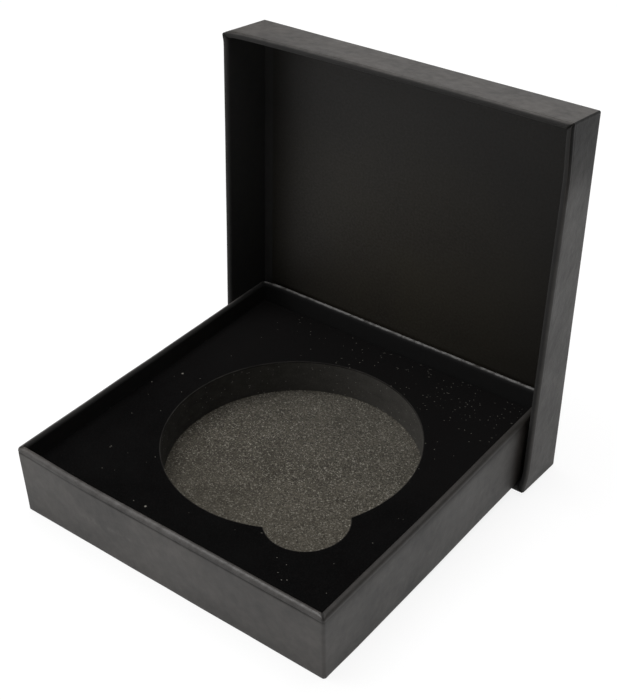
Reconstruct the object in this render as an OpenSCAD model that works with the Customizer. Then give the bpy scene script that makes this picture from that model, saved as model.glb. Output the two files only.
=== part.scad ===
// Two-piece rigid board case for one large coin or medal.
// The base tray lies on the table with its rear end tucked into the lid, which stands on edge behind it.
// Millimetres, +Z up, front towards -Y. The origin is on the table, midway along the whole object.

/* [Case] */
// Outside width and depth of the square base
case_w = 100; // [80:1:160]
// Outside height of the base
base_h = 21.25; // [17:0.25:40]
// Outside height of the lid, panel to rim
lid_h = 17.25; // [8:0.25:20]
// Gap between the base's wall and the lid's wall, each side
lid_gap = 0.6; // [0.3:0.05:1.5]
// Radius of the upright outside corners
corner_r = 1; // [0.6:0.1:2]

/* [Board and paper] */
// Thickness of the greyboard
board_t = 1.5; // [1:0.1:2.5]
// Thickness of the black covering paper and the lining
paper_t = 0.15; // [0.1:0.01:0.3]
// Thickness of the tape that holds the folded corners
stay_t = 0.1; // [0.05:0.01:0.2]
// How far a corner tape reaches along each wall
stay_leg = 14; // [8:1:25]
// Bare board above and below a corner tape
stay_margin = 1; // [0.5:0.1:3]
// How far the paper turns down inside the base's walls
base_turn_in = 12; // [6:0.5:14]
// How far the paper laps onto the inside of the lid's panel
lid_lap = 6; // [4:0.5:15]
// Strip left bare between the lid's wall and its lining
lining_margin = 3; // [1:0.5:3.5]

/* [Insert] */
// Thickness of the grey sponge that the coin lies on
pad_t = 3.8; // [1:0.1:5]
// Thickness of the black foam round the coin
foam_t = 10; // [4:0.5:10]
// Thickness of the velvet on the foam
velvet_t = 0.4; // [0.2:0.05:0.6]
// Gap between the insert and the paper on the base's walls
insert_gap = 0.3; // [0.2:0.05:0.6]
// Diameter of the round recess for the coin
coin_d = 70; // [30:1:74]
// How far the recess and its notch lie to the right of the insert's middle
coin_shift = 1.1; // [-1.5:0.1:1.5]
// Diameter of the finger notch
notch_d = 22; // [14:1:26]
// How far the notch's centre lies inside the recess's edge
notch_inset = 2.4; // [0:0.1:5]
// Direction of the notch, from +X towards the front right corner
notch_angle = -45; // [-90:5:0]

/* [Display pose] */
// How far the lid leans back from upright, in degrees
lid_lean = 2.25; // [0.5:0.25:6]
// Gap where the base's underside meets the lid's lower rim
rim_seat = 0.1; // [0.05:0.05:0.3]
// Gap between the base's rear end and the lid's lining
rear_seat = 0.1; // [0.05:0.05:0.3]

/* [Hidden] */
$fn = 96;

// A covered wall: paper, corner tape, board and the paper turned in
wall_t = paper_t + stay_t + board_t + paper_t;
// Paper and board under the base's hollow
floor_t = paper_t + board_t;
// Paper, board, lapped paper and lining of the lid's panel
panel_t = floor_t + paper_t + paper_t;
lid_w = case_w + 2 * (lid_gap + wall_t);

// The insert's own levels, from the base's underside
foam_z = floor_t + pad_t;
velvet_z = foam_z + foam_t;
insert_w = case_w - 2 * (wall_t + insert_gap);
notch_reach = coin_d / 2 - notch_inset;

// Inner edge of the lid's lower rim, from the lid's rear bottom edge: depth, then height
rim_y = wall_t * sin(lid_lean) - lid_h * cos(lid_lean);
rim_z = wall_t * cos(lid_lean) + lid_h * sin(lid_lean) + rim_seat;

// Length of the base's underside that lies over the lid's lower wall, at a tilt of the base
function tucked(tilt) = (lid_h - panel_t - rear_seat) / cos(tilt + lid_lean);
// The base's front edge is on the table and its underside on the lid's lower rim
function settled_tilt(steps) =
    steps == 0 ? 0 : asin(rim_z / (case_w - tucked(settled_tilt(steps - 1))));
base_tilt = settled_tilt(4);

// Depth from the lid's rear bottom edge to the base's front bottom edge
front_y = rim_y - (case_w - tucked(base_tilt)) * cos(base_tilt);
// The origin is midway between the base's front top edge and the lid's rear top edge
lid_y = -(front_y - base_h * sin(base_tilt) + lid_w * sin(lid_lean)) / 2;

// Carries a tray drawn about its own middle to the base's place on the table
module place_base() {
    translate([0, lid_y + front_y, 0])
        rotate([base_tilt, 0, 0])
            translate([0, case_w / 2, 0])
                children();
}

// Stands a tray drawn about its own middle on edge, to the lid's place
module place_lid() {
    translate([0, lid_y, 0])
        rotate([90 - lid_lean, 0, 0])
            translate([0, lid_w / 2, 0])
                children();
}

// Square with round corners
module soft_square(size, radius) {
    square([size - 2 * radius, size], center = true);
    square([size, size - 2 * radius], center = true);
    for (x = [-1, 1], y = [-1, 1])
        translate([x, y] * (size / 2 - radius))
            circle(radius);
}

// Greyboard blank folded up into a tray, inside its paper
module folded_board(size, height) {
    skin = paper_t + stay_t;
    translate([0, 0, paper_t])
        difference() {
            linear_extrude(height - 2 * paper_t)
                soft_square(size - 2 * skin, corner_r - skin);
            translate([0, 0, board_t])
                linear_extrude(height)
                    square(size - 2 * (skin + board_t), center = true);
        }
}

// One sheet of paper glued round a tray: underside, sides, over the rim and down inside
module folded_paper(size, height, turn_in) {
    mouth = size - 2 * wall_t;
    difference() {
        linear_extrude(height)
            soft_square(size, corner_r);
        translate([0, 0, paper_t])
            linear_extrude(height)
                soft_square(size - 2 * paper_t, corner_r - paper_t);
    }
    translate([0, 0, height - paper_t])
        linear_extrude(paper_t)
            difference() {
                soft_square(size, corner_r);
                square(mouth, center = true);
            }
    translate([0, 0, height - turn_in])
        linear_extrude(turn_in)
            difference() {
                square(mouth + 2 * paper_t, center = true);
                square(mouth, center = true);
            }
}

// Tape bent round one upright corner of a folded board, at the signs of x and y
module corner_stay(size, height, x, y) {
    inner_w = size - 2 * (paper_t + stay_t);
    translate([0, 0, paper_t + stay_margin])
        linear_extrude(height - 2 * (paper_t + stay_margin))
            intersection() {
                difference() {
                    soft_square(inner_w + 2 * stay_t, corner_r - paper_t);
                    soft_square(inner_w, corner_r - paper_t - stay_t);
                }
                translate([x, y] * inner_w / 2)
                    square(2 * stay_leg, center = true);
            }
}

// Plan of the insert: the recess and the finger notch run through it
module insert_plan() {
    difference() {
        square(insert_w, center = true);
        translate([coin_shift, 0]) {
            circle(d = coin_d);
            rotate(notch_angle)
                translate([notch_reach, 0])
                    circle(d = notch_d);
        }
    }
}

module base_board() {
    color("#8b867c")
        place_base()
            folded_board(case_w, base_h);
}

module base_wrap() {
    color("#3a3939")
        place_base()
            folded_paper(case_w, base_h, base_turn_in);
}

module base_stay_front_left() {
    color("#c8b58f")
        place_base()
            corner_stay(case_w, base_h, -1, -1);
}

module base_stay_front_right() {
    color("#c8b58f")
        place_base()
            corner_stay(case_w, base_h, 1, -1);
}

module base_stay_rear_left() {
    color("#c8b58f")
        place_base()
            corner_stay(case_w, base_h, -1, 1);
}

module base_stay_rear_right() {
    color("#c8b58f")
        place_base()
            corner_stay(case_w, base_h, 1, 1);
}

// Sponge sheet under the whole insert, seen in the recess
module bed_pad() {
    color("#4b4740")
        place_base()
            translate([0, 0, floor_t])
                linear_extrude(pad_t)
                    square(insert_w, center = true);
}

// Thick foam sheet with the coin's recess and the finger notch cut through it
module coin_insert() {
    color("#1d1c1c")
        place_base()
            translate([0, 0, foam_z])
                linear_extrude(foam_t)
                    insert_plan();
}

module insert_velvet() {
    color("#0d0d0e")
        place_base()
            translate([0, 0, velvet_z])
                linear_extrude(velvet_t)
                    insert_plan();
}

module lid_board() {
    color("#8b867c")
        place_lid()
            folded_board(lid_w, lid_h);
}

// The lid's paper reaches down its inner walls and laps onto the panel
module lid_wrap() {
    mouth = lid_w - 2 * wall_t;
    color("#3e3d3d")
        place_lid() {
            folded_paper(lid_w, lid_h, lid_h - floor_t);
            translate([0, 0, floor_t])
                linear_extrude(paper_t)
                    difference() {
                        square(mouth + 2 * paper_t, center = true);
                        square(mouth - 2 * lid_lap, center = true);
                    }
        }
}

module lid_stay_top_left() {
    color("#c8b58f")
        place_lid()
            corner_stay(lid_w, lid_h, -1, 1);
}

module lid_stay_top_right() {
    color("#c8b58f")
        place_lid()
            corner_stay(lid_w, lid_h, 1, 1);
}

module lid_stay_bottom_left() {
    color("#c8b58f")
        place_lid()
            corner_stay(lid_w, lid_h, -1, -1);
}

module lid_stay_bottom_right() {
    color("#c8b58f")
        place_lid()
            corner_stay(lid_w, lid_h, 1, -1);
}

// Sheet that covers the inside of the lid's panel and the edges of the lapped paper
module lid_lining() {
    color("#232221")
        place_lid()
            translate([0, 0, floor_t + paper_t])
                linear_extrude(paper_t)
                    square(lid_w - 2 * (wall_t + lining_margin), center = true);
}

base_board();
base_wrap();
base_stay_front_left();
base_stay_front_right();
base_stay_rear_left();
base_stay_rear_right();
bed_pad();
coin_insert();
insert_velvet();
lid_board();
lid_wrap();
lid_stay_top_left();
lid_stay_top_right();
lid_stay_bottom_left();
lid_stay_bottom_right();
lid_lining();
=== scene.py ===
# %% [markdown]
# # A paper-covered coin case, with its lid stood up behind it
# The object is a rigid board box for one large coin. A low square tray holds a foam insert with a velvet
# face and a round recess, and a shallow lid stands on edge behind the tray. Both are greyboard, wrapped in
# one sheet of charcoal paper each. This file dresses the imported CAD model. Every piece sits where the CAD
# has it, apart from the walls that have sprung a little at their rims.

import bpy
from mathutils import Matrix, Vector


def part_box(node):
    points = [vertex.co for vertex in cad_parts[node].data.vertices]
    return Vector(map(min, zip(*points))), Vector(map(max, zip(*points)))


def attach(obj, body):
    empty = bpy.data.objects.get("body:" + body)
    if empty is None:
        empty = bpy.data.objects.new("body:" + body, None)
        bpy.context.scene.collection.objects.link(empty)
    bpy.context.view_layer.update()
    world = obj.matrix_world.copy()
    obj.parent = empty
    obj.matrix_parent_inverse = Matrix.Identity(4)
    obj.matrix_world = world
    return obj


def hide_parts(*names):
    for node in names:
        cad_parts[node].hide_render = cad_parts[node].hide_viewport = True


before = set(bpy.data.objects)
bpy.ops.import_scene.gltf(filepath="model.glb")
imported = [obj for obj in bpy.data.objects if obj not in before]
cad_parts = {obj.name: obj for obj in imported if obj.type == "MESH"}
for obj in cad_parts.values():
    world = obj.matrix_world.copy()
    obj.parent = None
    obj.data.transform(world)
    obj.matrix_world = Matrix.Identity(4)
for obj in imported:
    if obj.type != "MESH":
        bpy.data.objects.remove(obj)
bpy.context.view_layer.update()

# %% Blender's own modules
import math

import bmesh
import bpy
from mathutils import Matrix, Vector, noise

scene = bpy.context.scene
MM = 0.001

# %% [markdown]
# ## The sizes
# These are the sizes that the CAD model was drawn with, now in metres. They keep its names, apart from the
# two radii, which are diameters there. Measuring the CAD's meshes would give most of them too, but copying
# the few that drive the rest shows how the case is made: a wall is paper, tape, board and paper.

# %% Driving sizes
case_w = 100 * MM
base_h = 21.25 * MM
lid_h = 17.25 * MM
lid_gap = 0.6 * MM
corner_r = 1.0 * MM
board_t = 1.5 * MM
paper_t = 0.15 * MM
stay_t = 0.1 * MM
stay_leg = 14 * MM
stay_margin = 1 * MM
base_turn_in = 12 * MM
lid_lap = 6 * MM
lining_margin = 3 * MM
pad_t = 3.8 * MM
foam_t = 10 * MM
velvet_t = 0.4 * MM
insert_gap = 0.3 * MM
recess_r = 35 * MM
coin_shift = 1.1 * MM
notch_r = 11 * MM
notch_inset = 2.4 * MM
notch_angle = math.radians(-45)
lid_lean = math.radians(2.25)
rim_seat = 0.1 * MM
rear_seat = 0.1 * MM

# %% Derived sizes
wall_t = paper_t + stay_t + board_t + paper_t
floor_t = paper_t + board_t
panel_t = floor_t + 2 * paper_t
lid_w = case_w + 2 * (lid_gap + wall_t)
foam_z = floor_t + pad_t
velvet_z = foam_z + foam_t
insert_w = case_w - 2 * (wall_t + insert_gap)
notch_reach = recess_r - notch_inset
print("wall %.2f mm, lid %.1f mm wide, insert %.1f mm" % (wall_t / MM, lid_w / MM, insert_w / MM))

# %% [markdown]
# ## Where the two trays stand
# The tray lies with its rear end on the lid's lower wall, so it is tipped forward by under two degrees, and
# the lid leans back a little. Modelling them tipped would make every step harder. So each piece is made
# flat, about its tray's own middle, and one matrix then carries its vertices to the tray's place. The
# objects themselves stay at the origin.

# %% The tilt of the tray
def tucked(tilt):
    """How much of the tray's underside lies over the lid's lower wall."""
    return (lid_h - panel_t - rear_seat) / math.cos(tilt + lid_lean)


rim_y = wall_t * math.sin(lid_lean) - lid_h * math.cos(lid_lean)
rim_z = wall_t * math.cos(lid_lean) + lid_h * math.sin(lid_lean) + rim_seat
base_tilt = 0.0
for _ in range(4):
    base_tilt = math.asin(rim_z / (case_w - tucked(base_tilt)))
front_y = rim_y - (case_w - tucked(base_tilt)) * math.cos(base_tilt)
lid_y = -(front_y - base_h * math.sin(base_tilt) + lid_w * math.sin(lid_lean)) / 2
print("tray tipped by %.3f degrees" % math.degrees(base_tilt))

# %% The two places
def shift(x, y, z):
    return Matrix.Translation((x, y, z))


def tip(angle):
    return Matrix.Rotation(angle, 4, "X")


BASE_PLACE = shift(0, lid_y + front_y, 0) @ tip(base_tilt) @ shift(0, case_w / 2, 0)
LID_PLACE = shift(0, lid_y, 0) @ tip(math.pi / 2 - lid_lean) @ shift(0, lid_w / 2, 0)


def compare(name, place, size, height):
    """Prints how far a tray's own box, once placed, is from the CAD node's box."""
    half = size / 2
    corners = [place @ Vector((x, y, z)) for x in (-half, half) for y in (-half, half) for z in (0, height)]
    low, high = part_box(name)
    ends = (min, low), (max, high)
    off = max(abs(pick(c[i] for c in corners) - end[i]) for pick, end in ends for i in range(3))
    print("%s: placed box is %.3f mm from the CAD's" % (name, off / MM))


compare("base_wrap", BASE_PLACE, case_w, base_h)
compare("lid_wrap", LID_PLACE, lid_w, lid_h)

# %% [markdown]
# ## Small tools for the meshes
# A box-like piece starts as a cube that is stretched between two corners. Edges are rounded with the bevel
# operator. Cutting a mesh with many planes gives it enough points to bend without changing its shape, which
# suits thin board better than a subdivision that would round it off.

# %% Mesh tools
# Two places closer than this are the same one
SAME = 0.001 * MM


def block(bm, low, high):
    """A cube stretched between two corners."""
    made = bmesh.ops.create_cube(bm, size=1.0)["verts"]
    bmesh.ops.scale(bm, vec=[b - a for a, b in zip(low, high)], verts=made)
    bmesh.ops.translate(bm, vec=[(a + b) / 2 for a, b in zip(low, high)], verts=made)


def top_face(bm):
    """The highest face, with every normal brought up to date."""
    bm.normal_update()
    return max(bm.faces, key=lambda f: f.calc_center_median().z)


def soften(bm, edges, width, steps):
    """Rounds edges off."""
    bmesh.ops.bevel(
        bm,
        geom=list(edges),
        offset=width,
        offset_type="OFFSET",
        segments=steps,
        profile=0.5,
        affect="EDGES",
        clamp_overlap=False,
        material=-1,
    )


# %% Cuts that change no shape
def cut(bm, normal, offsets):
    """Cuts the whole mesh with planes at these distances from the middle."""
    direction = Vector(normal).normalized()
    for offset in offsets:
        everything = bm.verts[:] + bm.edges[:] + bm.faces[:]
        point = direction * offset
        bmesh.ops.bisect_plane(bm, geom=everything, dist=SAME / 10, plane_co=point, plane_no=direction)


def cut_both_ways(bm, offsets):
    """The same cuts along the width and along the depth."""
    cut(bm, (1, 0, 0), offsets)
    cut(bm, (0, 1, 0), offsets)


def cut_mitres(bm, beside):
    """Cuts along both diagonals, and beside them at distances in millimetres."""
    for side in (1, -1):
        cut(bm, (1, side, 0), [d * MM for d in beside])


# %% Finding the edges to round
def upright_edges(bm, half):
    """The upright edges at the four corners of a square that is 2 * half wide."""
    found = []
    for e in bm.edges:
        a, b = (v.co for v in e.verts)
        at_corner = all(abs(abs(c) - half) < SAME for p in (a, b) for c in (p.x, p.y))
        if at_corner and abs(a.z - b.z) > SAME:
            found.append(e)
    return found


def turned_edges(bm, level):
    """The edges at a level where a steep face meets a flat one."""
    bm.normal_update()
    found = []
    for e in bm.edges:
        flatness = [abs(f.normal.z) for f in e.link_faces]
        if all(abs(v.co.z - level) < SAME for v in e.verts) and len(flatness) == 2:
            if min(flatness) < 0.5 < max(flatness):
                found.append(e)
    return found


# %% From a bmesh to a piece
def piece(name, bm, material, body, place, angle=38.0):
    """Carries a finished bmesh to its place and makes it an object that rides on a body. Edges sharper than
    the angle, in degrees, stay crisp."""
    bmesh.ops.transform(bm, matrix=place, verts=bm.verts)
    mesh = bpy.data.meshes.new(name)
    bm.to_mesh(mesh)
    bm.free()
    mesh.materials.append(material)
    mesh.shade_smooth()
    mesh.set_sharp_from_angle(angle=math.radians(angle))
    obj = bpy.data.objects.new(name, mesh)
    scene.collection.objects.link(obj)
    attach(obj, body)
    print("%s: %d points, %d faces" % (name, len(mesh.vertices), len(mesh.polygons)))
    return obj


def thicken(obj, thickness):
    """Gives a sheet its thickness, towards its back."""
    solid = obj.modifiers.new("thickness", "SOLIDIFY")
    solid.thickness = thickness
    solid.offset = -1.0
    solid.use_even_offset = False
    solid.use_quality_normals = True


# %% [markdown]
# ## Small tools for the materials
# Every finish is procedural. The patterns read Object coordinates, and a Mapping node of the Texture type
# brings them back to the tray's own axes, so that a pattern can follow a rim or the recess however the tray
# is tipped. A pattern's scale is in features per metre: at 1000 they are a millimetre apart.

# %% Node tools
def node(tree, kind, **settings):
    """Adds a node. Settings that name a property set it, and the others set an input."""
    made = tree.nodes.new(kind)
    for key, value in settings.items():
        if hasattr(made, key):
            setattr(made, key, value)
        else:
            made.inputs[key.replace("_", " ").title()].default_value = value
    return made


def link(tree, source, target):
    tree.links.new(source, target)


def blank(name, color, roughness, specular):
    """A new material with its principled shader set to plain values."""
    material = bpy.data.materials.new(name)
    material.use_nodes = True
    material.diffuse_color = (*color, 1.0)
    shader = material.node_tree.nodes["Principled BSDF"]
    shader.inputs["Base Color"].default_value = (*color, 1.0)
    shader.inputs["Roughness"].default_value = roughness
    shader.inputs["Specular IOR Level"].default_value = specular
    return material, material.node_tree, shader


def own_axes(tree, place):
    """Object coordinates brought back to a tray's own axes."""
    where = node(tree, "ShaderNodeTexCoord")
    back = node(tree, "ShaderNodeMapping", vector_type="TEXTURE")
    back.inputs["Location"].default_value = place.to_translation()
    back.inputs["Rotation"].default_value = place.to_euler()
    link(tree, where.outputs["Object"], back.inputs["Vector"])
    return back.outputs["Vector"]


# %% Arithmetic on nodes
def fit(tree, value, low, high, to_low=0.0, to_high=1.0):
    """Maps a range of a value onto another, clamped."""
    made = node(tree, "ShaderNodeMapRange", clamp=True)
    for key, number in zip(("From Min", "From Max", "To Min", "To Max"), (low, high, to_low, to_high)):
        made.inputs[key].default_value = number
    link(tree, value, made.inputs["Value"])
    return made.outputs["Result"]


def maths(tree, operation, a, b):
    """One arithmetic step on two sockets or numbers."""
    made = node(tree, "ShaderNodeMath", operation=operation)
    for slot, value in zip(made.inputs, (a, b)):
        if isinstance(value, (int, float)):
            slot.default_value = value
        else:
            link(tree, value, slot)
    return made.outputs["Value"]


def times(tree, a, b):
    return maths(tree, "MULTIPLY", a, b)


def larger(tree, a, b):
    return maths(tree, "MAXIMUM", a, b)


def mixed(tree, factor, a, b):
    """A colour between two colours or sockets."""
    made = node(tree, "ShaderNodeMix", data_type="RGBA")
    link(tree, factor, made.inputs[0])
    for slot, value in zip((made.inputs[6], made.inputs[7]), (a, b)):
        if isinstance(value, tuple):
            slot.default_value = (*value, 1.0)
        else:
            link(tree, value, slot)
    return made.outputs[2]


# %% Patterns and relief
def grain(tree, here, scale, detail, roughness, stretch=None):
    """A noise value. Stretch squeezes the pattern along the three axes."""
    if stretch:
        squeeze = node(tree, "ShaderNodeMapping", vector_type="POINT")
        squeeze.inputs["Scale"].default_value = stretch
        link(tree, here, squeeze.inputs["Vector"])
        here = squeeze.outputs["Vector"]
    made = node(tree, "ShaderNodeTexNoise", scale=scale, detail=detail, roughness=roughness)
    link(tree, here, made.inputs["Vector"])
    return made.outputs["Factor"] if "Factor" in made.outputs else made.outputs["Fac"]


def along(tree, here, axis):
    """One coordinate of a vector."""
    parts = node(tree, "ShaderNodeSeparateXYZ")
    link(tree, here, parts.inputs["Vector"])
    return parts.outputs[axis]


def distance_to(tree, here, point):
    made = node(tree, "ShaderNodeVectorMath", operation="DISTANCE")
    made.inputs[1].default_value = point
    link(tree, here, made.inputs[0])
    return made.outputs["Value"]


def bumped(tree, shader, *layers):
    """Bump from several heights. Each layer is a socket and how far it stands out, in metres."""
    normal = None
    for height, distance in layers:
        made = node(tree, "ShaderNodeBump", distance=distance)
        link(tree, height, made.inputs["Height"])
        if normal:
            link(tree, normal, made.inputs["Normal"])
        normal = made.outputs["Normal"]
    link(tree, normal, shader.inputs["Normal"])


# %% [markdown]
# ## Finish: charcoal covering paper
# The cover is a matt black paper, dyed rather than coated, that has gone greyish. It has a very fine grain,
# faint clouds where the glue took differently, a few pale scuffs along the sheet, and pale, slightly
# polished edges where the black has rubbed off the folds. A pale line on each rim's bead is partly that
# wear and partly painted highlight. Where the paper is turned in, and on parts of the rims, it is painted
# darker as painted shade. A dark band along the groove below the rim, and over parts of some walls, is
# painted shade, and it takes the shine there, as does the dirt in the mitre notches. These marks come from
# attributes that the meshes carry, and the rest from noise. Painting them on a texture by hand would give
# the same look, but it would not survive a change of size.

# %% The sheet's colours, with those for painted highlight and painted shade
PAPER = {
    "scuff": (0.095, 0.090, 0.082),
    "polish_and_highlight": (0.118, 0.114, 0.112),
    "bare": (0.27, 0.265, 0.26),
    "grime_and_shade": (0.012, 0.0115, 0.011),
}


def tinted(color, *factors):
    """A colour with each of its channels times its own factor."""
    return tuple(c * f for c, f in zip(color, factors))


def dyed_sheet(tree, here, dye, tone, mottle):
    """The dye in its clouds, with a few stains and pale scuffs along the sheet."""
    dark, pale = tinted(dye, 0.65, 0.65, 0.65), tinted(dye, 1.48, 1.43, 1.37)
    body = mixed(tree, fit(tree, tone, 0.33, 0.67), dark, pale)
    stains = fit(tree, grain(tree, here, 38, 2, 0.45), 0.46, 0.66, 0.0, 0.45)
    body = mixed(tree, stains, body, tinted(dye, 0.68, 0.68, 0.68))
    streaks = grain(tree, here, 260, 2, 0.5, (0.12, 1.0, 1.0))
    scuffs = times(tree, fit(tree, streaks, 0.62, 0.78), fit(tree, mottle, 0.5, 0.62))
    return mixed(tree, times(tree, scuffs, 0.35), body, PAPER["scuff"])


def attribute(tree, name):
    """A number that the mesh carries on its points."""
    return node(tree, "ShaderNodeAttribute", attribute_name=name).outputs["Fac"]


# %% Covering paper
def covering_paper(name, place, dye, turned_in_shade, relief=1.0, dulled=0.0):
    """Paper with a dye and a painted shade colour where it is turned in. Relief is how much its clouds
    stand out, and dulled is how much of its shine is missing where it is turned in."""
    material, tree, shader = blank(name, dye, 0.62, 0.5)
    here = own_axes(tree, place)
    clouds = grain(tree, here, 70, 3, 0.5)
    mottle = grain(tree, here, 420, 4, 0.6)
    fibres = grain(tree, here, 2600, 3, 0.6, (1.0, 0.35, 1.0))
    tone = maths(tree, "ADD", times(tree, clouds, 0.6), times(tree, mottle, 0.4))
    body = dyed_sheet(tree, here, dye, tone, mottle)
    # wear, and painted highlight on the rims' beads, lighten the paper
    worn_and_lit = times(tree, attribute(tree, "wear_and_highlight"), fit(tree, mottle, 0.36, 0.62, 0.25, 1.0))
    body = mixed(tree, times(tree, worn_and_lit, 0.45), body, PAPER["polish_and_highlight"])
    # the strongest rim lines, wear and painted highlight, go to pale bare paper
    body = mixed(tree, fit(tree, worn_and_lit, 1.0, 2.2), body, PAPER["bare"])
    # painted shade where the paper is turned in and on parts of the rims
    inside = attribute(tree, "inside")
    body = mixed(tree, inside, body, turned_in_shade)
    # dirt in the mitres, and painted shade in the groove below the bead and on some walls
    grime_and_shade = attribute(tree, "dirt_and_shade")
    body = mixed(tree, times(tree, grime_and_shade, 0.6), body, PAPER["grime_and_shade"])
    link(tree, body, shader.inputs["Base Color"])
    matt = maths(tree, "ADD", fit(tree, tone, 0.3, 0.7, 0.56, 0.46), times(tree, inside, 0.4))
    link(tree, maths(tree, "SUBTRACT", matt, times(tree, worn_and_lit, 0.12)), shader.inputs["Roughness"])
    dull = larger(tree, grime_and_shade, times(tree, inside, dulled))
    link(tree, fit(tree, dull, 0.0, 1.0, 0.5, 0.12), shader.inputs["Specular IOR Level"])
    bumped(tree, shader, (fibres, 0.02 * MM), (mottle, 0.05 * relief * MM), (clouds, 0.25 * relief * MM))
    return material


# %% The paper of the tray and of the lid
base_paper = covering_paper(
    "charcoal_paper_base",
    BASE_PLACE,
    dye=(0.0360, 0.0322, 0.0291),
    turned_in_shade=(0.0042, 0.0040, 0.0040),
    dulled=0.4,
)
lid_paper = covering_paper(
    "charcoal_paper_lid",
    LID_PLACE,
    dye=(0.0462, 0.0421, 0.0385),
    turned_in_shade=(0.0122, 0.0117, 0.0112),
    relief=1.7,
)

# %% [markdown]
# ## Finish: the sheet inside the lid
# The lid's panel is lined with a browner black paper. It shows a soft cloudy tint, fine fibres and a little
# lint. It is painted paler round a spot a little left of its middle and lower down, and darker towards the
# walls, as painted light and shade. It has no rubbed edges, because nothing touches it. That painted light
# and shade could be a painted mask, but the distance to one point is enough. The lint is the middles of a
# Voronoi pattern's cells, in the few whose random number is high.

# %% Cells with a number of their own
def cell_pattern(tree, here, scale):
    """A Voronoi pattern: its Distance is 0 at each cell's middle, and its Color is random for each cell."""
    made = node(tree, "ShaderNodeTexVoronoi", feature="F1", scale=scale)
    link(tree, here, made.inputs["Vector"])
    return made


def luck(tree, cells):
    """One random number for each cell."""
    parts = node(tree, "ShaderNodeSeparateColor")
    link(tree, cells.outputs["Color"], parts.inputs["Color"])
    return parts.outputs["Red"]


# %% Lining paper
LINING = {
    "dark": (0.0150, 0.0122, 0.0088),
    "pale": (0.0196, 0.0164, 0.0105),
    "fibre": (0.036, 0.0325, 0.024),
    "wall_shade": (0.0067, 0.0058, 0.0047),
    "lint": (0.10, 0.10, 0.095),
}
# the middle of the painted light on the lining
lit_spot = (-6 * MM, -15 * MM, 0.0)


def lining_paper():
    material, tree, shader = blank("black_lining_paper", (0.022, 0.021, 0.019), 0.6, 0.25)
    here = own_axes(tree, LID_PLACE)
    clouds = grain(tree, here, 45, 3, 0.5)
    fibres = grain(tree, here, 1500, 4, 0.65)
    body = mixed(tree, fit(tree, clouds, 0.35, 0.65), LINING["dark"], LINING["pale"])
    body = mixed(tree, fit(tree, fibres, 0.40, 0.72, 0.0, 0.6), body, LINING["fibre"])
    # painted shade away from the lit spot, darkest towards the walls
    wall_shade = fit(tree, distance_to(tree, here, lit_spot), 14 * MM, 60 * MM, 0.0, 0.85)
    body = mixed(tree, wall_shade, body, LINING["wall_shade"])
    cells = cell_pattern(tree, here, 130)
    near = fit(tree, cells.outputs["Distance"], 0.015, 0.05, 1.0, 0.0)
    lint = times(tree, near, fit(tree, luck(tree, cells), 0.93, 0.97))
    body = mixed(tree, lint, body, LINING["lint"])
    link(tree, body, shader.inputs["Base Color"])
    link(tree, fit(tree, fibres, 0.3, 0.7, 0.60, 0.48), shader.inputs["Roughness"])
    bumped(tree, shader, (fibres, 0.03 * MM), (clouds, 0.2 * MM))
    return material


lining = lining_paper()

# %% [markdown]
# ## Finish: greyboard and corner tape
# These two are under the paper and only show if the case is taken apart. Greyboard is pulped waste paper:
# grey, with darker and paler flecks. The tape is brown kraft paper with fibres that run along it. Nothing
# has to line up with a rim here, so both read plain Object coordinates.

# %% Greyboard and tape
def greyboard():
    material, tree, shader = blank("greyboard", (0.27, 0.25, 0.22), 0.9, 0.2)
    here = node(tree, "ShaderNodeTexCoord").outputs["Object"]
    pulp = grain(tree, here, 900, 5, 0.7)
    flecks = grain(tree, here, 2400, 2, 0.5)
    body = mixed(tree, fit(tree, pulp, 0.3, 0.7), (0.20, 0.185, 0.165), (0.33, 0.305, 0.27))
    body = mixed(tree, fit(tree, flecks, 0.66, 0.74), body, (0.09, 0.085, 0.08))
    link(tree, body, shader.inputs["Base Color"])
    bumped(tree, shader, (pulp, 0.04 * MM))
    return material


def kraft_tape():
    material, tree, shader = blank("kraft_tape", (0.5, 0.38, 0.22), 0.75, 0.3)
    here = node(tree, "ShaderNodeTexCoord").outputs["Object"]
    fibres = grain(tree, here, 1800, 4, 0.6, (1.0, 1.0, 0.15))
    body = mixed(tree, fit(tree, fibres, 0.3, 0.7), (0.42, 0.31, 0.17), (0.56, 0.43, 0.26))
    link(tree, body, shader.inputs["Base Color"])
    bumped(tree, shader, (fibres, 0.02 * MM))
    return material


board = greyboard()
tape = kraft_tape()

# %% [markdown]
# ## Finish: sponge
# The floor of the recess is grey-brown sponge with open cells: small dark pits and holes, and pale grains.
# They are crisper towards the rear, and the sponge is painted paler towards the rear as painted light. A
# displaced surface would need millions of points for cells this small, so the colour and a bump carry them.

# %% Sponge
SPONGE = {
    "dark": (0.055, 0.0492, 0.0382),
    "pale": (0.101, 0.0910, 0.0726),
    "pit": (0.040, 0.036, 0.030),
    "hole": (0.012, 0.0107, 0.0086),
    "grain": (0.30, 0.285, 0.245),
    "painted_light": (0.20, 0.19, 0.165),
}


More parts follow.
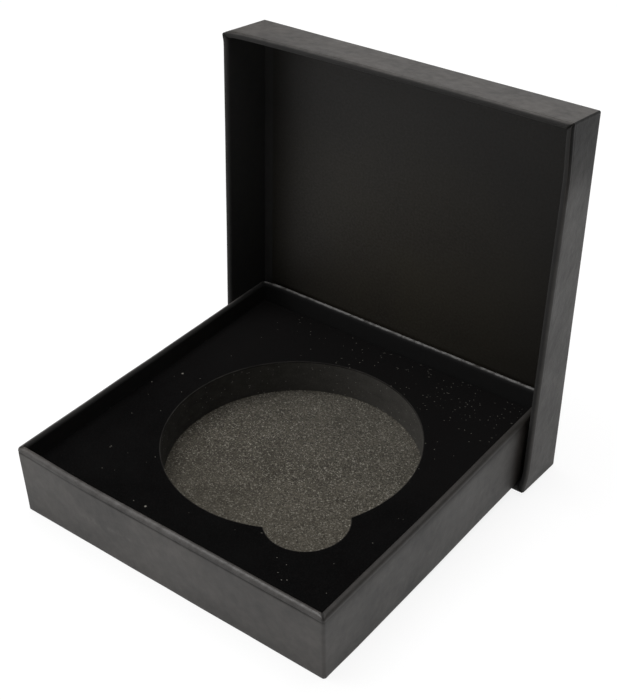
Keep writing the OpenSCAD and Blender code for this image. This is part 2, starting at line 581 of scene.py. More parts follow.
def sponge():
    material, tree, shader = blank("grey_sponge", (0.10, 0.09, 0.078), 1.0, 0.1)
    here = own_axes(tree, BASE_PLACE)
    rearwards = along(tree, here, "Y")
    patches = grain(tree, here, 110, 5, 0.65)
    body = mixed(tree, fit(tree, patches, 0.32, 0.68), SPONGE["dark"], SPONGE["pale"])
    pits = fit(tree, cell_pattern(tree, here, 1100).outputs["Distance"], 0.12, 0.62)
    body = mixed(tree, fit(tree, pits, 0.0, 1.0, 0.0, 0.35), body, SPONGE["pit"])
    crisp = fit(tree, rearwards, -34 * MM, 4 * MM, 0.45, 1.0)
    holes = grain(tree, here, 1800, 2, 0.8, (1.0, 1.0, 1.3))
    body = mixed(tree, times(tree, fit(tree, holes, 0.49, 0.60, 0.0, 0.8), crisp), body, SPONGE["hole"])
    grains = grain(tree, here, 2200, 2, 0.8)
    body = mixed(tree, times(tree, fit(tree, grains, 0.55, 0.68, 0.0, 0.95), crisp), body, SPONGE["grain"])
    # painted light: paler towards the rear
    body = mixed(tree, fit(tree, rearwards, -5 * MM, 32 * MM, 0.02, 0.18), body, SPONGE["painted_light"])
    link(tree, body, shader.inputs["Base Color"])
    bumped(tree, shader, (grains, 0.08 * MM), (pits, -0.25 * MM))
    return material


bed_sponge = sponge()

# %% [markdown]
# ## Finish: velvet with its lint
# The velvet is the blackest thing here, because its pile traps light. It has almost no shine, a frayed pale
# edge round the opening, and lint that clings in clumps at the rear right. Hair strands could make the
# pile, but from here it is only a very dark grain. The lint is made like the lining's, as specks, tufts and
# short fibres: a speck becomes a fibre when its pattern's space is drawn out in one direction.

# %% Lint
def lint_spots(tree, here, scale, size, share):
    """Round specks in a random share of the cells. Their size is a part of a cell's."""
    cells = cell_pattern(tree, here, scale)
    near = fit(tree, cells.outputs["Distance"], size * 0.5, size, 1.0, 0.0)
    some = fit(tree, maths(tree, "ADD", luck(tree, cells), share), 0.985, 0.995)
    return times(tree, near, some)


def drawn_out(tree, here, turn, length):
    """Pattern space drawn out in one direction of the plane."""
    made = node(tree, "ShaderNodeMapping", vector_type="TEXTURE")
    made.inputs["Rotation"].default_value = (0, 0, turn)
    made.inputs["Scale"].default_value = (length, 1, 1)
    link(tree, here, made.inputs["Vector"])
    return made.outputs["Vector"]


def velvet_lint(tree, here):
    """Specks, tufts and short fibres in clumps at the rear right, and a few specks elsewhere."""
    rear = fit(tree, along(tree, here, "Y"), 26 * MM, 42 * MM)
    right = fit(tree, along(tree, here, "X"), -10 * MM, 15 * MM, 0.2, 1.0)
    clumps = fit(tree, grain(tree, here, 150, 2, 0.5), 0.46, 0.55, 0.12, 1.0)
    gathered = times(tree, times(tree, rear, right), clumps)
    share = maths(tree, "ADD", gathered, 0.045)
    specks = lint_spots(tree, here, 900, 0.14, share)
    tufts = lint_spots(tree, here, 260, 0.10, times(tree, share, 0.5))
    ways = [drawn_out(tree, here, turn, 3.0) for turn in (0.5, -0.7)]
    fibres = [lint_spots(tree, way, 1000, 0.12, gathered) for way in ways]
    return larger(tree, larger(tree, specks, tufts), times(tree, larger(tree, *fibres), 0.6))


# %% Distance to the opening
recess_middle = Vector((coin_shift, 0, 0))
notch_middle = recess_middle + Vector((math.cos(notch_angle), math.sin(notch_angle), 0)) * notch_reach


def ring_distance(tree, here):
    """How far a point of the pattern lies outside the recess and its notch."""
    flat = node(tree, "ShaderNodeVectorMath", operation="MULTIPLY")
    flat.inputs[1].default_value = (1, 1, 0)
    link(tree, here, flat.inputs[0])
    outside = []
    for middle, radius in ((recess_middle, recess_r), (notch_middle, notch_r)):
        away = distance_to(tree, flat.outputs["Vector"], middle)
        outside.append(maths(tree, "SUBTRACT", away, radius))
    return maths(tree, "MINIMUM", *outside)


# %% Velvet
VELVET = {
    "deep": (0.0023, 0.0022, 0.0022),
    "brushed": (0.0035, 0.0034, 0.0034),
    "tips": (0.0095, 0.0090, 0.0090),
    "rear": (0.0075, 0.0071, 0.0070),
    "lint": (0.24, 0.225, 0.20),
    "frayed": (0.050, 0.047, 0.043),
}


def velvet():
    material, tree, shader = blank("black_velvet", (0.0042, 0.0041, 0.0042), 1.0, 0.0)
    here = own_axes(tree, BASE_PLACE)
    pile = grain(tree, here, 3200, 3, 0.7)
    nap = grain(tree, here, 90, 3, 0.55)
    body = mixed(tree, fit(tree, nap, 0.3, 0.7), VELVET["deep"], VELVET["brushed"])
    body = mixed(tree, fit(tree, pile, 0.45, 0.75, 0.0, 0.6), body, VELVET["tips"])
    body = mixed(tree, fit(tree, along(tree, here, "Y"), -10 * MM, 42 * MM), body, VELVET["rear"])
    body = mixed(tree, times(tree, velvet_lint(tree, here), 0.8), body, VELVET["lint"])
    frayed = times(tree, fit(tree, ring_distance(tree, here), 0.05 * MM, 0.30 * MM, 1.0, 0.0), 0.8)
    frayed = times(tree, frayed, fit(tree, nap, 0.35, 0.6, 0.4, 1.0))
    body = mixed(tree, frayed, body, VELVET["frayed"])
    link(tree, body, shader.inputs["Base Color"])
    shader.inputs["Sheen Weight"].default_value = 0.01
    shader.inputs["Sheen Roughness"].default_value = 0.6
    bumped(tree, shader, (pile, 0.12 * MM), (nap, 0.2 * MM))
    return material


insert_pile = velvet()

# %% [markdown]
# ## Finish: cut foam
# The thick foam round the coin is black. Its cut wall shows scores from the die, paler cell walls and fine
# specks, and it is painted paler towards the right and the rear as painted light. All of these are noise of
# different scales, because at this size nothing has an outline of its own.

# %% Cut foam
FOAM = {
    "dark": (0.043, 0.0411, 0.0373),
    "pale": (0.067, 0.0637, 0.058),
    "cell wall": (0.13, 0.122, 0.105),
    "painted_light": (0.15, 0.142, 0.128),
    "speck": (0.36, 0.345, 0.31),
}


def cut_foam():
    material, tree, shader = blank("black_foam", (0.026, 0.025, 0.023), 0.9, 0.2)
    here = own_axes(tree, BASE_PLACE)
    cells = grain(tree, here, 2200, 4, 0.7)
    scores = grain(tree, here, 300, 3, 0.6, (1.0, 1.0, 1.6))
    body = mixed(tree, fit(tree, scores, 0.3, 0.7), FOAM["dark"], FOAM["pale"])
    body = mixed(tree, fit(tree, cells, 0.60, 0.72, 0.0, 0.7), body, FOAM["cell wall"])
    # painted light: paler towards the right and the rear
    lit_walls = fit(tree, along(tree, here, "X"), 5 * MM, 34 * MM, 0.0, 0.37)
    lit_walls = larger(tree, lit_walls, fit(tree, along(tree, here, "Y"), 5 * MM, 30 * MM, 0.0, 0.35))
    lit_walls = times(tree, lit_walls, fit(tree, cells, 0.35, 0.6, 0.5, 1.0))
    body = mixed(tree, lit_walls, body, FOAM["painted_light"])
    specks = times(tree, lint_spots(tree, here, 900, 0.19, 0.45), 0.7)
    body = mixed(tree, specks, body, FOAM["speck"])
    link(tree, body, shader.inputs["Base Color"])
    bumped(tree, shader, (cells, 0.12 * MM))
    return material


insert_foam = cut_foam()
finishes = base_paper, lid_paper, lining, board, tape, bed_sponge, insert_pile, insert_foam
print("finishes:", ", ".join(finish.name for finish in finishes))

# %% [markdown]
# ## The covering papers
# One sheet goes round each tray: under it, up the sides, over the rim and down inside. Folding a flat sheet
# would show how it is made, but not the shape it takes over the board. So as a mesh it is the skin of a box
# whose top is inset by the wall's thickness and pushed down. The rims are fully rounded, because the paper
# turns over 1.5 mm board, and a shallow groove runs just below the bead where the paper leaves the board's
# edge. At each corner the sheet is mitred, and the fold leaves a small notch in the rim.

# %% Hollow out a block
def sink(bm, top, wall, depth):
    """Insets a block's top by the wall and pushes the middle down. Returns the sunk faces."""
    bmesh.ops.inset_region(bm, faces=[top], thickness=wall, depth=0, use_even_offset=True)
    pushed = bmesh.ops.extrude_discrete_faces(bm, faces=[top])["faces"]
    corners = [v for f in pushed for v in f.verts]
    bmesh.ops.translate(bm, vec=(0, 0, -depth), verts=corners)
    return pushed


# %% Skin of a tray
inner_corner_r = 0.6 * MM
rim_r = 0.9 * MM
foot_r = 0.18 * MM


def tray_skin(size, height, reach, corner, lap=0.0):
    """The paper's outer surface: under the box, up its sides and down inside by reach, with a lap."""
    bm = bmesh.new()
    half = size / 2
    block(bm, (-half, -half, 0), (half, half, height))
    inner = sink(bm, top_face(bm), wall_t, reach)
    if lap:
        bmesh.ops.inset_region(bm, faces=inner, thickness=lap, depth=0, use_even_offset=True)
    bmesh.ops.delete(bm, geom=inner, context="FACES")
    soften(bm, upright_edges(bm, half), corner, 6)
    soften(bm, upright_edges(bm, half - wall_t), inner_corner_r, 4)
    soften(bm, turned_edges(bm, height), rim_r, 6)
    soften(bm, turned_edges(bm, 0.0), foot_r, 3)
    return bm


# %% Points to bend it by
def add_points(bm, size, height):
    """Planes near the edges, where the detail is, and coarser ones between."""
    half = size / 2
    inset = [half - d * MM for d in (2.1, 2.7, 4.0, 7.0, 11.0)]
    steps = [k * half / 8 for k in range(-6, 7)]
    cut_both_ways(bm, sorted(set(inset + [-i for i in inset] + steps)))
    below = [height - d * MM for d in (1.0, 1.15, 1.3, 1.4, 1.5, 1.6, 1.7, 1.85, 2.1, 2.6, 3.4, 5.0)]
    cut(bm, (0, 0, 1), below + [1.0 * MM, 2.2 * MM, 4.5 * MM, height / 2])
    cut_mitres(bm, (-0.75, -0.4, -0.2, 0.0, 0.2, 0.4, 0.75))


# %% [markdown]
# ## Wear, dirt, and painted light and shade
# Paper shows its use where fingers and other things touch it: along rims, edges and folds. A texture can't
# know where those are, but a function of each point's place can. So every point gets three numbers: for
# wear with painted highlight on the rims' beads, for painted shade inside and on the rims, and for dirt
# with painted shade below the bead and on some walls, and the finish reads them. Each wall of the real case
# looks a little different, so each has values of its own.

# %% Smooth curves and marks
def ramp(value, start, reach):
    """0 before the start, 1 past it by the reach, and smooth between."""
    t = min(max((value - start) / reach, 0.0), 1.0)
    return t * t * (3 - 2 * t)


def bump(distance, width):
    """1 at no distance, fading to nothing a few widths away."""
    return math.exp(-((distance / width) ** 2))


def uneven(p, scale, share, least=1.0):
    """A factor that varies from place to place, with features per metre."""
    return least + share * noise.noise(p * scale)


def mark(bm, name):
    """A number on every point, under the name that the finish reads."""
    return bm.verts.layers.float.get(name) or bm.verts.layers.float.new(name)


def side_of(p):
    """The wall that a point belongs to, in the tray's own axes."""
    if abs(p.x) > abs(p.y):
        return "right" if p.x > 0 else "left"
    return "rear" if p.y > 0 else "front"


# %% Pale wear and painted highlight
edge_wear = 0.15
edge_width = 0.8 * MM
bead = 2 * MM


def wear_and_bead_light(bm, size, height, lines):
    """Faint wear on the box's outer edges below the bead, and a pale line on each rim that is partly wear
    and partly painted highlight on the bead. Each wall has how strong its line is, how far in from the
    outside it lies and how wide it is, in millimetres."""
    worn_and_lit = mark(bm, "wear_and_highlight")
    half = size / 2
    for v in bm.verts:
        x, y, z = abs(v.co.x), abs(v.co.y), v.co.z
        gaps = sorted(max(g, 0.0) for g in (half - x, half - y, min(z, height - z)))
        edge = edge_wear * bump(math.hypot(gaps[0], gaps[1]), edge_width) if z < height - bead else 0.0
        strength, middle, width = lines[side_of(v.co)]
        away = math.hypot(half - max(x, y) - middle * MM, (z - height) * 0.6)
        # the rim line is wear and painted highlight on the bead
        v[worn_and_lit] = max(edge, strength * bump(away, width * MM) * uneven(v.co, 60, 0.6))


# %% Painted shade where it is turned in
def darken(bm, size, height, rims):
    """Painted shade where the paper is turned in, and partly on the rims. Each wall has the rim's share,
    how far in that starts, in millimetres, and the share below the rim."""
    inside = mark(bm, "inside")
    half = size / 2
    for v in bm.verts:
        within = half - max(abs(v.co.x), abs(v.co.y))
        # painted shade where the paper is turned in, and on the rims
        turned_in_shade = ramp(within, wall_t - 0.35 * MM, 0.3 * MM) * ramp(height - v.co.z, 0.0, 0.6 * MM)
        share, start, below = rims[side_of(v.co)]
        on_rim = share * ramp(within, start * MM, 0.5 * MM) * ramp(v.co.z, height - 1.1 * MM, 0.5 * MM)
        v[inside] = max(turned_in_shade * below, on_rim) if v.co.z > 0.1 * MM else 0.0


# %% Groove and mitres
groove_below = 1.35
groove_width = 0.26
mitre_depth = 0.30 * MM
mitre_width = 0.24 * MM


def crease(bm, size, height, folds):
    """The groove below the bead, pushed in along the wall's own normal, and painted shade along it. Each
    wall has the groove's depth, how far below the rim the painted shade lies and how wide it is, in
    millimetres, and how dark."""
    dirt_and_shade = mark(bm, "dirt_and_shade")
    bm.normal_update()
    half = size / 2
    for v in bm.verts:
        if max(abs(v.co.x), abs(v.co.y)) < half - 0.45 * MM or abs(v.normal.z) > 0.8:
            continue
        depth, middle, width, dark = folds[side_of(v.co)]
        below = (height - v.co.z) / MM
        if abs(v.normal.z) < 0.4:
            pressed = v.normal * depth * MM * bump(below - groove_below, groove_width)
            v.co -= pressed * uneven(v.co, 90, 0.6, 0.7)
        # painted shade in the groove below the bead
        v[dirt_and_shade] = dark * bump(below - middle, width) * uneven(v.co, 70, 0.8)


def mitre(bm, size, height):
    """A small dirty notch in the rim on each diagonal."""
    dirt_and_shade = mark(bm, "dirt_and_shade")
    half = size / 2
    for v in bm.verts:
        x, y = abs(v.co.x), abs(v.co.y)
        if min(x, y) > half - 3.2 * MM and v.co.z > height - 1.3 * MM:
            across = abs(x - y) / math.sqrt(2)
            deep = ramp(v.co.z, height - 1.3 * MM, 1.0 * MM) * bump(across, mitre_width)
            v.co.z -= mitre_depth * deep
            v[dirt_and_shade] = max(v[dirt_and_shade], deep)


# %% [markdown]
# ## Hand-made irregularities
# No wall of the real box is straight. The tray's walls swell by a tenth of a millimetre, and three of them
# lean out by about one at the rim. The lid's upper and right walls have sprung outwards by up to almost
# three millimetres, most of all towards their common corner, while the corner by the table and the one at
# the top left are still nearly square. A lattice could bend them, but one smooth function of a point's
# place bends paper, board and tape alike, so that none pokes through another.

# %% Ripples
def ripple(p, layer, scale):
    """Smooth noise over the plane. Each use has a layer of its own, so that no two are alike."""
    return noise.noise(Vector((p.x, p.y, layer)) * scale)


# %% How the tray bends
least_swell = 0.05 * MM


def base_bend(p):
    half = case_w / 2
    rise = ramp(p.z, 0.0, base_h)
    u, v = p.x / half, p.y / half
    right = ramp(p.x, half - 20 * MM, 17 * MM)
    front = ramp(-p.y, half - 20 * MM, 17 * MM)
    rear = ramp(p.y, half - 20 * MM, 17 * MM)
    right_lean = 1.05 - 0.65 * ramp(v, -0.3, 1.3)
    right_foot = 0.18 * ramp(v, -1.0, 0.3) * ramp(-v, -0.35, 0.5)
    front_lean = 0.35 + 0.7 * ramp(u, -1.0, 0.5)
    rear_lean = 0.9 * ramp(u, -1.02, 0.15)
    p.x += right * rise * right_lean * MM
    p.x += right * (1 - rise) * right_foot * MM
    p.y -= front * rise * front_lean * MM
    p.y += rear * rise * rear_lean * MM
    swell = abs(noise.noise(p * 42)) * 0.10 * MM + least_swell
    if abs(p.x) > half - 2.2 * MM:
        p.x += math.copysign(swell, p.x)
    if abs(p.y) > half - 2.2 * MM:
        p.y += math.copysign(swell, p.y)
    p.z += ripple(p, 0.3, 55) * 0.10 * MM * ramp(p.z, base_h - 3 * MM, 2 * MM)


# %% How the lid bends
def settled(distance, reach):
    """Grows from 0 towards 1, most of it within the reach."""
    return 1 - math.exp(-distance / reach)


def lid_bend(p):
    half = lid_w / 2
    rise = max(p.z, 0.0) / lid_h
    up = (p.y + half) / lid_w
    from_left = max(p.x + half, 0.0)
    left = ramp(-p.x, half - 20 * MM, 17 * MM)
    right = ramp(p.x, half - 24 * MM, 21 * MM)
    upper = ramp(p.y, half - 22 * MM, 19 * MM)
    left_lean = 0.45
    right_lean = (0.9 + 1.5 * up) * ramp(up, -0.0084, 0.07) - 0.75 * ramp(up, 0.86, 0.14)
    upper_lean = 0.35 + 1.15 * settled(from_left, 1.6 * MM) + 1.5 * settled(from_left, 38 * MM)
    upper_foot = 0.5 * from_left / lid_w
    p.x += (right * right_lean - left * left_lean) * rise * MM
    p.y += upper * (upper_lean * rise + upper_foot * (1 - rise)) * MM
    swell = noise.noise(p * 30 + Vector((7, 3, 1))) * 0.07 * MM
    p.x += math.copysign(swell, p.x) * ramp(abs(p.x), half - 4 * MM, 2 * MM)
    p.y += math.copysign(swell, p.y) * ramp(abs(p.y), half - 4 * MM, 2 * MM)


def bend(bm, rule):
    for v in bm.verts:
        rule(v.co)


# %% Marks on the tray's paper
# Pale rim lines, partly wear and partly painted highlight: strength, distance in, width
tray_lines = {
    "front": (0.95, 0.6, 0.95),
    "right": (0.45, 1.5, 0.3),
    "rear": (3.6, 1.0, 0.5),
    "left": (0.9, 0.6, 0.5),
}
# Painted shade on each rim and below it: the rim's share, how far in it starts, the share below the rim
tray_rims = {
    "front": (0.0, 0.0, 1.0),
    "right": (0.4, 0.0, 1.0),
    "rear": (1.0, 1.15, 1.0),
    "left": (0.9, 0.70, 0.80),
}
# Painted shade below the bead: the groove's depth, how far below the rim, how wide, how dark
tray_folds = {
    "front": (0.15, 1.25, 0.5, 0.9),
    "right": (0.04, 1.6, 1.1, 0.6),
    "rear": (0.1, 1.5, 0.4, 0.7),
    "left": (0.1, 1.5, 0.4, 0.7),
}


def shade_tray_front(bm):
    """Faint painted shade on the front wall, darkest near its left corner."""
    dirt_and_shade = mark(bm, "dirt_and_shade")
    for v in bm.verts:
        if v.co.y < 0.5 * MM - case_w / 2:
            # painted shade, darkest near the front wall's left corner
            v[dirt_and_shade] = max(v[dirt_and_shade], 0.16 * bump(v.co.x + case_w / 2, 20 * MM))


# %% The tray's paper
skin = tray_skin(case_w, base_h, base_turn_in, corner_r * 0.8)
add_points(skin, case_w, base_h)
wear_and_bead_light(skin, case_w, base_h, tray_lines)
darken(skin, case_w, base_h, tray_rims)
crease(skin, case_w, base_h, tray_folds)
shade_tray_front(skin)
mitre(skin, case_w, base_h)
bend(skin, base_bend)
tray_paper = piece("tray_cover_paper", skin, base_paper, "base", BASE_PLACE)
thicken(tray_paper, paper_t)
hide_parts("base_wrap")

# %% Marks on the lid's paper
# In its own axes the lid's rear wall is the upper one, and its front wall is the one on the table
# Pale rim lines, partly wear and partly painted highlight: strength, distance in, width
lid_lines = {
    "front": (0.4, 1.5, 0.35),
    "right": (0.05, 1.5, 0.3),
    "rear": (0.1, 1.5, 0.3),
    "left": (0.3, 1.1, 0.3),
}
# Painted shade on each rim and below it: the rim's share, how far in it starts, the share below the rim
lid_rims = {
    "front": (0.6, 0.0, 1.0),
    "right": (0.95, 0.30, 1.0),
    "rear": (0.9, 0.15, 1.0),
    "left": (0.9, 0.0, 0.95),
}
# Painted shade below the bead: the groove's depth, how far below the rim, how wide, how dark
lid_folds = {
    "front": (0.05, 1.0, 0.6, 0.5),
    "right": (0.05, 1.0, 0.6, 0.5),
    "rear": (0.05, 0.4, 0.7, 0.5),
    "left": (0.05, 1.0, 0.6, 0.5),
}


def wear_and_shade_lid(bm):
    """A polished upper wall, painted shade over the right wall, darkest near its upper end, and a dented
    corner.
    """
    half = lid_w / 2
    dirt_and_shade = mark(bm, "dirt_and_shade")
    worn_and_lit = mark(bm, "wear_and_highlight")
    knuckle = Vector((-half, half, lid_h - 1 * MM))
    for v in bm.verts:
        if v.co.y > half - 0.5 * MM:
            v[worn_and_lit] = max(v[worn_and_lit], 0.28)
        # painted shade over the right wall, darkest near its upper end
        if v.co.x > half - 0.5 * MM:
            v[dirt_and_shade] = max(v[dirt_and_shade], 0.42 + 1.4 * bump(half - v.co.y - 3 * MM, 11 * MM))
        dented = bump((v.co - knuckle).length, 1.9 * MM)
        v[dirt_and_shade] = max(v[dirt_and_shade], 1.6 * dented)
        v.co.x -= 0.5 * MM * dented


# %% The lid's paper
skin = tray_skin(lid_w, lid_h, lid_h - floor_t - paper_t, corner_r * 0.5, lid_lap)
add_points(skin, lid_w, lid_h)
wear_and_bead_light(skin, lid_w, lid_h, lid_lines)
darken(skin, lid_w, lid_h, lid_rims)
crease(skin, lid_w, lid_h, lid_folds)
wear_and_shade_lid(skin)
mitre(skin, lid_w, lid_h)
bend(skin, lid_bend)
lid_cover = piece("lid_cover_paper", skin, lid_paper, "lid", LID_PLACE)
thicken(lid_cover, paper_t)
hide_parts("lid_wrap")

# %% [markdown]
# ## Boards and corner tapes
# Under the paper each tray is one blank of greyboard, folded up and taped at the corners. The CAD's boards
# and tapes could stay, but their square rims would stand out through the rounded paper, and they aren't
# sprung. So they are made again with the same bend as their paper, and a little slack keeps them clear.

# %% A board tray
slack = 0.06 * MM


def board_tray(size, height):
    """A block with a rounded rim, hollowed out to the board's thickness."""
    bm = bmesh.new()
    half = size / 2 - paper_t - stay_t - slack
    rim = height - paper_t - slack
    block(bm, (-half, -half, paper_t), (half, half, rim))
    sink(bm, top_face(bm), board_t - 0.1 * MM, rim - floor_t)
    soften(bm, upright_edges(bm, half), 0.9 * MM, 5)
    soften(bm, turned_edges(bm, rim), 0.62 * MM, 4)
    soften(bm, turned_edges(bm, paper_t), 0.3 * MM, 2)
    inset = [half - d * MM for d in (2.5, 5.0, 8.0, 12.0, 17.0)]
    cut_both_ways(bm, [k * half / 6 for k in range(-3, 4)] + inset + [-i for i in inset])
    cut(bm, (0, 0, 1), [height * k / 8 for k in range(1, 8)])
    cut_mitres(bm, (-0.6, -0.3, 0.0, 0.3, 0.6))
    mitre(bm, size, height)
    return bm


# %% The two boards
# Each tray's width, height, bend and place
TRAYS = {
    "base": (case_w, base_h, base_bend, BASE_PLACE),
    "lid": (lid_w, lid_h, lid_bend, LID_PLACE),
}
for name, body, stands_for in (
    ("tray_greyboard", "base", "base_board"),
    ("lid_greyboard", "lid", "lid_board"),
):
    size, height, rule, place = TRAYS[body]
    folded = board_tray(size, height)
    bend(folded, rule)
    made = piece(name, folded, board, body, place)
    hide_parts(stands_for)

# %% A corner tape
def corner_tape(size, height, x, y):
    """Tape round one upright corner, as a sheet on the board. It is the two outer sides of a block."""
    bm = bmesh.new()
    far = size / 2 - paper_t - slack
    near = far - stay_leg
    low = (min(x * near, x * far), min(y * near, y * far), paper_t + stay_margin)
    high = (max(x * near, x * far), max(y * near, y * far), height - paper_t - stay_margin)
    block(bm, low, high)
    bm.normal_update()
    spare = [f for f in bm.faces if f.normal.x * x + f.normal.y * y < 0.5]
    bmesh.ops.delete(bm, geom=spare, context="FACES")
    soften(bm, upright_edges(bm, far), 1.15 * MM, 5)
    steps = [near + d * MM for d in range(2, 14, 2)]
    cut(bm, (1, 0, 0), [x * step for step in steps])
    cut(bm, (0, 1, 0), [y * step for step in steps])
    cut(bm, (0, 0, 1), [height * k / 8 for k in range(1, 8)])
    return bm


# %% The eight tapes
for tray, ends in (
    ("base", (("front", -1), ("rear", 1))),
    ("lid", (("bottom", -1), ("top", 1))),
):
    size, height, rule, place = TRAYS[tray]
    for end, y in ends:
        for side, x in (("left", -1), ("right", 1)):
            strip = corner_tape(size, height, x, y)
            bend(strip, rule)
            made = piece("tape_%s_%s_%s" % (tray, end, side), strip, tape, tray, place)
            thicken(made, stay_t * 0.8)
            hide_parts("%s_stay_%s_%s" % (tray, end, side))

# %% [markdown]
# ## The lining sheet
# A square of black paper covers the inside of the lid's panel. A plain slab would do from afar, but glued
# paper is never quite flat. So it is a grid that rises and falls by a few hundredths of a millimetre,
# extruded down to its thickness.

# %% Lining
def points_in(geometry):
    return [g for g in geometry if isinstance(g, bmesh.types.BMVert)]


sheet = bmesh.new()
bmesh.ops.create_grid(sheet, x_segments=48, y_segments=48, size=lid_w / 2 - wall_t - lining_margin)
for v in sheet.verts:
    v.co.z = panel_t + ripple(v.co, 0.9, 60) * 0.04 * MM
under = points_in(bmesh.ops.extrude_face_region(sheet, geom=sheet.faces[:])["geom"])
bmesh.ops.translate(sheet, vec=(0, 0, -paper_t * 0.8), verts=under)
bmesh.ops.recalc_face_normals(sheet, faces=sheet.faces)
lid_lining = piece("lid_lining_sheet", sheet, lining, "lid", LID_PLACE)
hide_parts("lid_lining")

# %% [markdown]
# ## The sponge under the coin
# Only the disc inside the recess shows, but the sheet is full size, as in the CAD. A bump alone leaves its
# surface flat where the light grazes it. So a fine grid carries its larger unevenness, and lies lower and
# flatter under the foam, which presses on it.

# %% Sponge bed
pad = bmesh.new()
bmesh.ops.create_grid(pad, x_segments=150, y_segments=150, size=insert_w / 2)
bmesh.ops.recalc_face_normals(pad, faces=pad.faces)
bmesh.ops.translate(pad, vec=(0, 0, foam_z), verts=pad.verts)
for v in pad.verts:
    inwards = recess_r - (v.co.xy - recess_middle.xy).length
    free = max(ramp(inwards, -1 * MM, 2 * MM), 0.15)
    fine = ripple(v.co, 0.1, 900) * 0.10
    coarse = ripple(v.co, 0.2, 130) * 0.18
    v.co.z += (fine + coarse - 0.2) * MM * free
bed = piece("sponge_bed", pad, bed_sponge, "base", BASE_PLACE, angle=60)
thicken(bed, pad_t - 0.05 * MM)
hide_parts("bed_pad")

# %% [markdown]
# ## The foam and its velvet
# Both have the same plan: a square with a round recess and a finger notch cut through. A boolean would cut
# them too, but it leaves long thin faces that shade badly when the top swells. So the opening's outline is
# two arcs, each made by spinning one vertex, that meet where the circles cross. Rings of faces lead from it
# outwards, one filled sheet reaches on to the square, and extruding the plan gives the block.

# %% The opening's outline
recess_steps = 232
notch_steps = 40
weld = 0.01 * MM


def arc(bm, middle, radius, start, sweep, steps):
    """Spins one vertex round a middle."""
    first = middle + Vector((math.cos(start), math.sin(start), 0)) * radius
    begun = bmesh.ops.create_vert(bm, co=first)["vert"]
    bmesh.ops.spin(bm, geom=begun, cent=middle, axis=(0, 0, 1), angle=sweep, steps=steps, use_merge=False)


def outline(bm, grow):
    """Two arcs that meet where the circles cross, both grown outwards. Returns their edges."""
    known = set(bm.edges)
    wide, small = recess_r + grow, notch_r + grow
    crossing = (notch_reach**2 + wide**2 - small**2) / (2 * notch_reach)
    half_chord = math.sqrt(wide**2 - crossing**2)
    taken = math.atan2(half_chord, crossing)
    swept = math.atan2(half_chord, crossing - notch_reach)
    arc(bm, recess_middle, wide, notch_angle + taken, 2 * math.pi - 2 * taken, recess_steps)
    arc(bm, notch_middle, small, notch_angle - swept, 2 * swept, notch_steps)
    fresh = [v for v in bm.verts if any(e not in known for e in v.link_edges)]
    bmesh.ops.remove_doubles(bm, verts=fresh, dist=weld)
    return [e for e in bm.edges if e not in known]


# %% Plan of the insert
def insert_plan():
    """Rings of faces outwards from the opening's edge, then one filled sheet out to the square."""
    bm = bmesh.new()
    rings = [d * MM for d in (0.0, 0.25, 0.6, 1.2, 2.2, 3.8)]
    for inner, outer in zip(rings, rings[1:]):
        bmesh.ops.bridge_loops(bm, edges=outline(bm, inner) + outline(bm, outer))
    known = set(bm.edges)
    outline(bm, rings[-1])
    turned = Matrix.Rotation(math.pi / 4, 4, "Z")
    bmesh.ops.create_circle(bm, segments=4, radius=insert_w / math.sqrt(2), matrix=turned)
    bare = [e for e in bm.edges if e not in known]
    bmesh.ops.triangle_fill(bm, edges=bare, use_beauty=True, use_dissolve=False)
    bmesh.ops.remove_doubles(bm, verts=bm.verts, dist=SAME)
    return bm


def raise_plan(thickness, level):
    """Extrudes the plan to a block that stands on a level."""
    bm = insert_plan()
    up = points_in(bmesh.ops.extrude_face_region(bm, geom=bm.faces[:])["geom"])
    bmesh.ops.translate(bm, vec=(0, 0, thickness), verts=up)
    bmesh.ops.translate(bm, vec=(0, 0, level), verts=bm.verts)
    bmesh.ops.recalc_face_normals(bm, faces=bm.faces)
    cut_both_ways(bm, [k * insert_w / 32 for k in range(-15, 16)])
    return bm


# %% How far a point is from the cut
def from_cut(p):
    """Distance outwards from the opening's edge, negative inside it."""
    return min((p.xy - recess_middle.xy).length - recess_r, (p.xy - notch_middle.xy).length - notch_r)


def top_dip(p):
    """The top face swells softly, and sinks a little along the cut, where the die pressed it."""
    pressed = 0.16 * MM * math.exp(-max(from_cut(p), 0.0) / (1.3 * MM))
    return ripple(p, 0.5, 45) * 0.10 * MM - pressed


# %% Foam
foam = raise_plan(foam_t, foam_z)
cut(foam, (0, 0, 1), [foam_z + foam_t * k / 9 for k in range(1, 9)])
foam.normal_update()
for v in foam.verts:
    if abs(from_cut(v.co)) < 0.05 * MM and abs(v.normal.z) < 0.5:
        wave = noise.noise(Vector((v.co.x, v.co.y, v.co.z * 3)) * 260) * 0.10 * MM
        v.co += Vector((v.normal.x, v.normal.y, 0)) * wave
    if v.co.z > velvet_z - 0.01 * MM:
        v.co.z += top_dip(v.co)
insert_block = piece("insert_foam_block", foam, insert_foam, "insert", BASE_PLACE, angle=50)
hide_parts("coin_insert")

# %% Velvet face
pile = raise_plan(velvet_t, velvet_z)
rim = [e for e in turned_edges(pile, velvet_z + velvet_t) if from_cut(e.verts[0].co) < 0.1 * MM]
soften(pile, rim, 0.14 * MM, 3)
for v in pile.verts:
    v.co.z += top_dip(v.co)
velvet_face = piece("insert_velvet_face", pile, insert_pile, "insert", BASE_PLACE, angle=50)
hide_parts("insert_velvet")

# %% [markdown]
# ## Floor, light and camera
# The photograph has a white ground, a large soft light overhead, and dark air in front of the lid. More
# light would whiten the floor, but it would grey the blacks too. So a Light Path node adds white to the
# world for the eye's own rays, and to the floor for those and for what glossy things mirror. The floor
# still takes the case's shadow. A big lamp above and weaker ones round it light the case at a plain level.

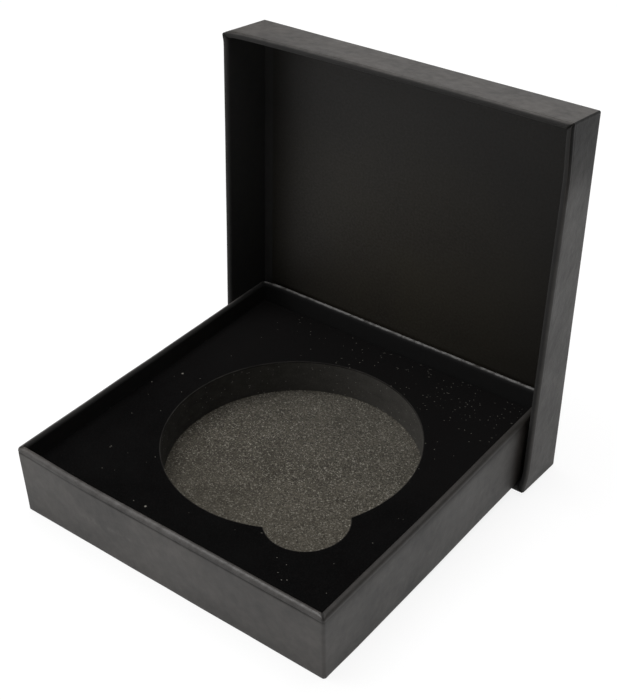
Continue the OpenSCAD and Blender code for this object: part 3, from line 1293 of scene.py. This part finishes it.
# %% Floor
ground = bmesh.new()
bmesh.ops.create_grid(ground, x_segments=1, y_segments=1, size=3.0)
floor_mesh = bpy.data.meshes.new("floor")
ground.to_mesh(floor_mesh)
ground.free()
floor = bpy.data.objects.new("floor", floor_mesh)
scene.collection.objects.link(floor)

# %% Floor's material
def two_looks(tree, share, plain, bright, target):
    """Sends a share of the bright shader, and the plain one for the rest, to an output."""
    made = node(tree, "ShaderNodeMixShader")
    for slot, source in zip(made.inputs, (share, plain, bright)):
        link(tree, source, slot)
    link(tree, made.outputs["Shader"], target)


white, tree, shader = blank("white_ground", (0.88, 0.88, 0.88), 0.9, 0.1)
seen = node(tree, "ShaderNodeLightPath")
mirrored = larger(tree, seen.outputs["Is Glossy Ray"], seen.outputs["Is Transmission Ray"])
eye = larger(tree, seen.outputs["Is Camera Ray"], times(tree, mirrored, 0.6))
glow = node(tree, "ShaderNodeEmission", strength=1.09).outputs["Emission"]
surface = tree.nodes["Material Output"].inputs["Surface"]
two_looks(tree, times(tree, eye, 0.8), shader.outputs["BSDF"], glow, surface)
floor_mesh.materials.append(white)

# %% World
world = bpy.data.worlds.new("studio")
world.use_nodes = True
tree = world.node_tree
air = tree.nodes["Background"]
air.inputs["Color"].default_value = (1.0, 1.0, 1.0, 1.0)
air.inputs["Strength"].default_value = 0.02
seen = node(tree, "ShaderNodeLightPath").outputs["Is Camera Ray"]
clear = node(tree, "ShaderNodeBackground", strength=1.0).outputs["Background"]
two_looks(tree, seen, air.outputs["Background"], clear, tree.nodes["World Output"].inputs["Surface"])
scene.world = world

# %% Lamps
def lamp(name, place, target, width, height, watts):
    """A rectangular soft lamp that faces a target."""
    data = bpy.data.lights.new(name, "AREA")
    data.shape = "RECTANGLE"
    data.size = width
    data.size_y = height
    data.energy = watts
    made = bpy.data.objects.new(name, data)
    made.location = place
    made.rotation_euler = (Vector(target) - Vector(place)).to_track_quat("-Z", "Y").to_euler()
    scene.collection.objects.link(made)
    print("%s lamp: %.2f x %.2f m, %.2f W" % (name, width, height, watts))


lamp("overhead", (-0.12, 0.0, 0.9), (0.0, 0.0, 0.0), 0.9, 0.9, 9.0)
lamp("rear", (0.0, 0.9, 0.40), (0.0, 0.0, 0.05), 1.6, 0.6, 1.9)
lamp("left", (-0.70, -0.42, 0.45), (0.0, 0.0, 0.0), 0.7, 0.4, 2.2)
lamp("low", (-0.2, -0.45, 0.03), (0.0, -0.10, 0.0), 0.7, 0.05, 0.25)

# %% Camera
# Fitted to the corners and outlines of the two trays in the photograph
focal_length = 70.2405
shift_x, shift_y = -0.019278, -0.032319
stands_at = (0.1848617, -0.2278659, 0.2392571)
turned_by = (57.21630, 0.12523, 37.60020)

lens = bpy.data.cameras.new("camera")
lens.lens = focal_length
lens.sensor_width = 36.0
lens.shift_x = shift_x
lens.shift_y = shift_y
lens.clip_start = 0.01
camera = bpy.data.objects.new("camera", lens)
camera.location = stands_at
camera.rotation_euler = [math.radians(a) for a in turned_by]
scene.collection.objects.link(camera)
scene.camera = camera
scene.view_settings.view_transform = "Standard"
print("camera: %.1f mm lens, %.0f mm from the origin" % (focal_length, camera.location.length / MM))
